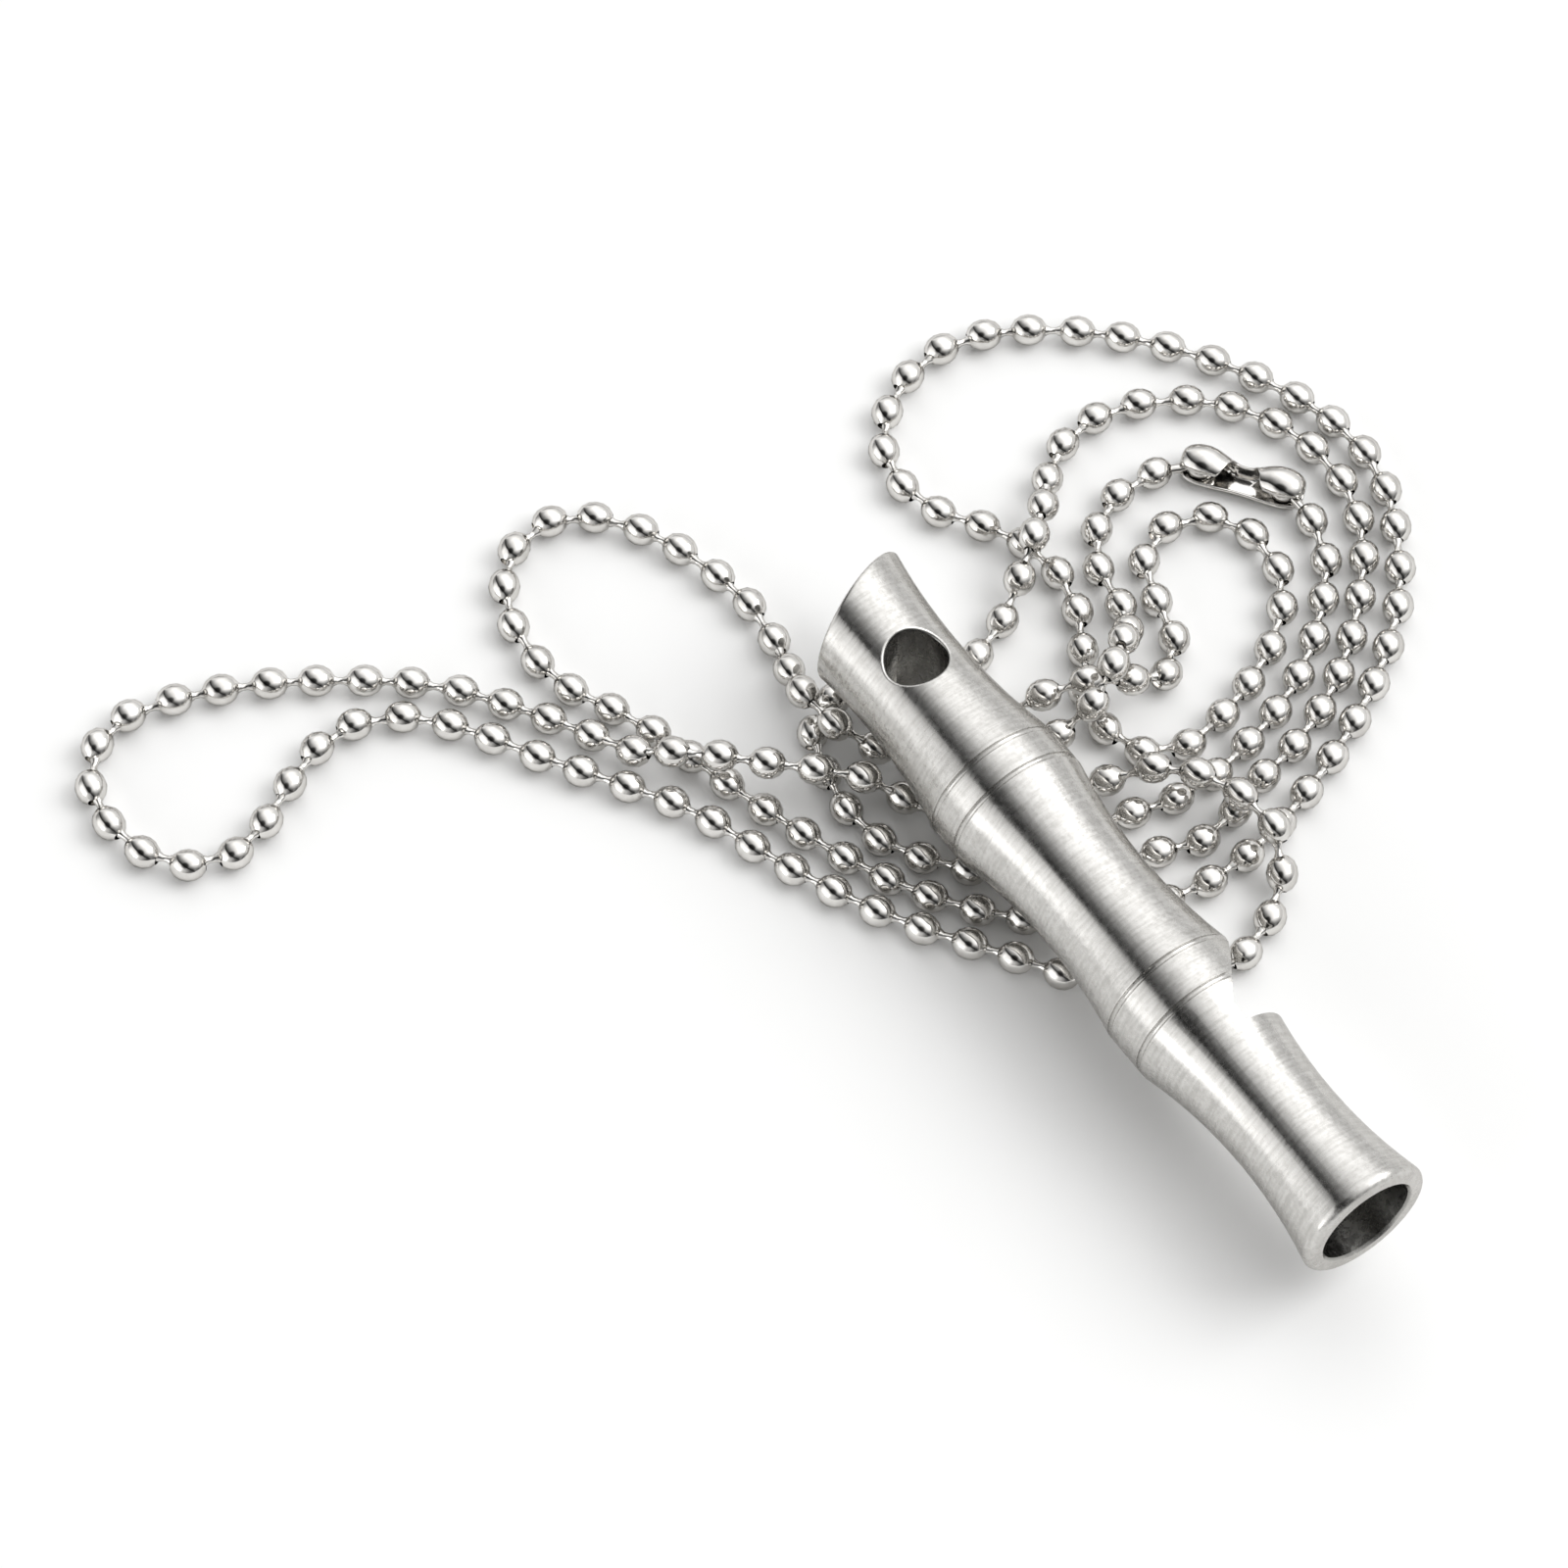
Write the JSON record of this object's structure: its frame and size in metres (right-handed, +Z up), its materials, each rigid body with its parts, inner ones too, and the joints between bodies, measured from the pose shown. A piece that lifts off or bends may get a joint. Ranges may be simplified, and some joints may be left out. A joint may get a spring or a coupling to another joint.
{
  "type": "pocket whistle on a ball chain",
  "caption": "Solid turned steel pocket whistle shaped like a bamboo stem, with a side window and a cross hole, lying on the loose loops of its closed ball chain.",
  "frame": {"origin": "on the floor, under the middle of the box round the whistle and the chain's connector; the loose chain is left out", "axes": "+X along the whistle towards its mouth end, +Z up, +Y across the whistle towards the connector and out of the sound window"},
  "size_m": [0.0895, 0.0963, 0.0137],
  "materials": {
    "turned_steel": "satin turned stainless steel with fine lathe lines round the axis",
    "plated_chain": "bright nickel plate"
  },
  "bodies": {
    "chain": {"ball_chain": "plated_chain", "chain_connector": "plated_chain", "end_link_left": "plated_chain", "end_link_right": "plated_chain"},
    "whistle": {"whistle_body": "turned_steel", "windway_plug": "turned_steel"},
    "left_bead": {"end_bead_left": "plated_chain"},
    "right_bead": {"end_bead_right": "plated_chain"}
  },
  "joints": [
    {"name": "whistle_lift", "type": "slide", "parent": "chain", "child": "whistle", "axis": [0, 0, 1], "range_m": [0, 0.06]},
    {"name": "left_bead_swivel", "type": "hinge", "parent": "chain", "child": "left_bead", "pos_m": [-0.02884, 0.0154, 0.0012], "axis": [-0.4226, -0.9063, 0], "continuous": true},
    {"name": "right_bead_swivel", "type": "hinge", "parent": "chain", "child": "right_bead", "pos_m": [-0.02356, 0.0192, 0.0012], "axis": [1, 0, 0], "continuous": true}
  ]
}
